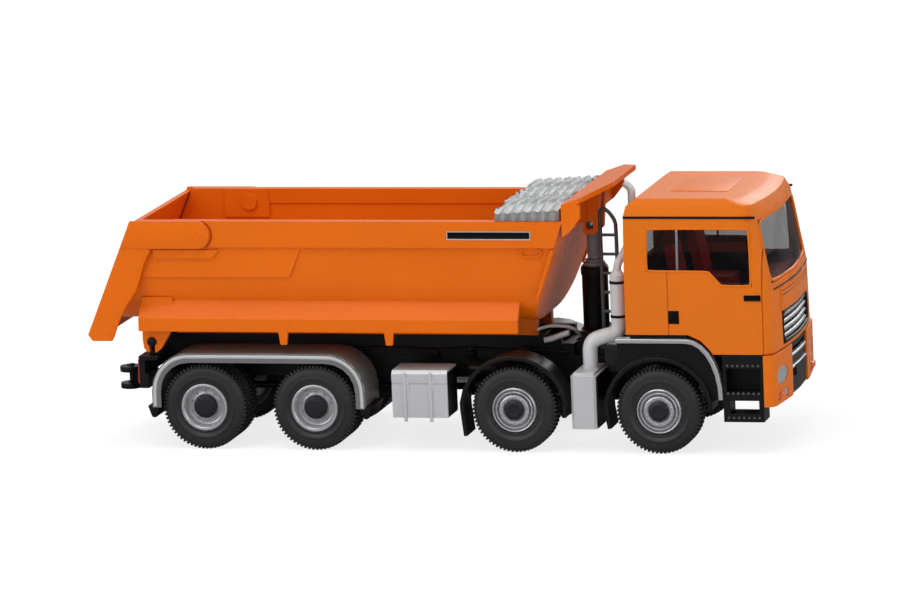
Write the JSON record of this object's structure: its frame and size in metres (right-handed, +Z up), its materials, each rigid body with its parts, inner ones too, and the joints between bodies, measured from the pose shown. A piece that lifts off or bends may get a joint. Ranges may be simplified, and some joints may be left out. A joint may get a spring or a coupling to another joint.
{
  "type": "dump truck scale model",
  "caption": "Toy scale model of a cab-over tipper lorry: half-pipe bed that tips on a telescopic cylinder, swinging tailgate and rolling twin wheels.",
  "frame": {"origin": "on the floor under the middle of the lorry, midway between tail and nose", "axes": "+X to the nose, +Y to the left side, +Z up"},
  "size_m": [0.0994, 0.0292, 0.0371],
  "materials": {
    "orange_plastic": "satin moulded plastic",
    "black_plastic": "satin moulded plastic",
    "silver_plastic": "silver coloured plastic",
    "tyre_plastic": "soft black plastic",
    "grey_plastic": "folded cloth look",
    "clear_plastic": "clear moulding",
    "red_brown_plastic": "moulded plastic",
    "red_plastic": "glossy",
    "lamp_plastic": "clear over silver",
    "amber_plastic": "glossy"
  },
  "bodies": {
    "chassis": {"chassis_frame": "black_plastic", "tipper_subframe": "black_plastic", "rear_crossbar": "black_plastic", "tail_lamps": "red_plastic", "tow_coupling": "black_plastic", "rear_mudguards": "silver_plastic", "second_axle_mudguards": "black_plastic", "mudguard_trims": "silver_plastic", "cab_mudguards": "black_plastic", "battery_box": "black_plastic", "battery_cover": "silver_plastic", "fuel_tank": "silver_plastic", "silencer": "silver_plastic", "exhaust_stack": "silver_plastic", "ladder": "black_plastic", "cylinder_bracket": "black_plastic", "cab_shell": "orange_plastic", "cab_glass": "clear_plastic", "steering_wheel": "black_plastic", "cab_interior": "red_brown_plastic", "grille": "silver_plastic", "front_bumper": "orange_plastic", "headlamps": "lamp_plastic", "indicators": "amber_plastic", "lower_grille": "black_plastic", "cab_steps": "black_plastic", "door_handles": "black_plastic"},
    "axle_1": {"axle_1_tyres": "tyre_plastic", "axle_1_rims": "silver_plastic", "axle_1_shaft": "black_plastic"},
    "axle_2": {"axle_2_tyres": "tyre_plastic", "axle_2_rims": "silver_plastic", "axle_2_shaft": "black_plastic"},
    "axle_3": {"axle_3_tyres": "tyre_plastic", "axle_3_rims": "silver_plastic", "axle_3_shaft": "black_plastic"},
    "axle_4": {"axle_4_tyres": "tyre_plastic", "axle_4_rims": "silver_plastic", "axle_4_shaft": "black_plastic"},
    "bed": {"bed": "orange_plastic", "tarp": "grey_plastic"},
    "tailgate": {"tailgate": "orange_plastic"},
    "cylinder_tube": {"cylinder_tube": "black_plastic"},
    "cylinder_stage_1": {"cylinder_stage_1": "black_plastic"},
    "cylinder_stage_2": {"cylinder_stage_2": "silver_plastic"},
    "cylinder_rod": {"cylinder_rod": "silver_plastic"}
  },
  "joints": [
    {"name": "axle_1_turn", "type": "hinge", "parent": "chassis", "child": "axle_1", "pos_m": [0.0322, 0, 0.00605], "axis": [0, 1, 0], "continuous": true},
    {"name": "axle_2_turn", "type": "hinge", "parent": "chassis", "child": "axle_2", "pos_m": [0.0116, 0, 0.00605], "axis": [0, 1, 0], "continuous": true},
    {"name": "axle_3_turn", "type": "hinge", "parent": "chassis", "child": "axle_3", "pos_m": [-0.0172, 0, 0.00605], "axis": [0, 1, 0], "continuous": true},
    {"name": "axle_4_turn", "type": "hinge", "parent": "chassis", "child": "axle_4", "pos_m": [-0.0333, 0, 0.00605], "axis": [0, 1, 0], "continuous": true},
    {"name": "bed_tip", "type": "hinge", "parent": "chassis", "child": "bed", "pos_m": [-0.0408, 0, 0.0152], "axis": [0, -1, 0], "range_deg": [0, 42]},
    {"name": "tailgate_swing", "type": "hinge", "parent": "bed", "child": "tailgate", "pos_m": [-0.033, 0, 0.03075], "axis": [0, 1, 0], "range_deg": [0, 40]},
    {"name": "cylinder_lean", "type": "hinge", "parent": "chassis", "child": "cylinder_tube", "pos_m": [0.0206, 0, 0.0138], "axis": [0, -1, 0], "range_deg": [0, 25.98]},
    {"name": "cylinder_stage_1_slide", "type": "slide", "parent": "cylinder_tube", "child": "cylinder_stage_1", "axis": [0, 0, 1], "range_m": [0, 0.01445]},
    {"name": "cylinder_stage_2_slide", "type": "slide", "parent": "cylinder_stage_1", "child": "cylinder_stage_2", "axis": [0, 0, 1], "range_m": [0, 0.01445]},
    {"name": "cylinder_rod_slide", "type": "slide", "parent": "cylinder_stage_2", "child": "cylinder_rod", "axis": [0, 0, 1], "range_m": [0, 0.01445]}
  ],
  "couplings": [
    {"joint": "cylinder_lean", "follows": "bed_tip", "ratio": 0.61119},
    {"joint": "cylinder_stage_1_slide", "follows": "bed_tip", "m_per_rad": 0.019609},
    {"joint": "cylinder_stage_2_slide", "follows": "bed_tip", "m_per_rad": 0.019609},
    {"joint": "cylinder_rod_slide", "follows": "bed_tip", "m_per_rad": 0.019609}
  ]
}
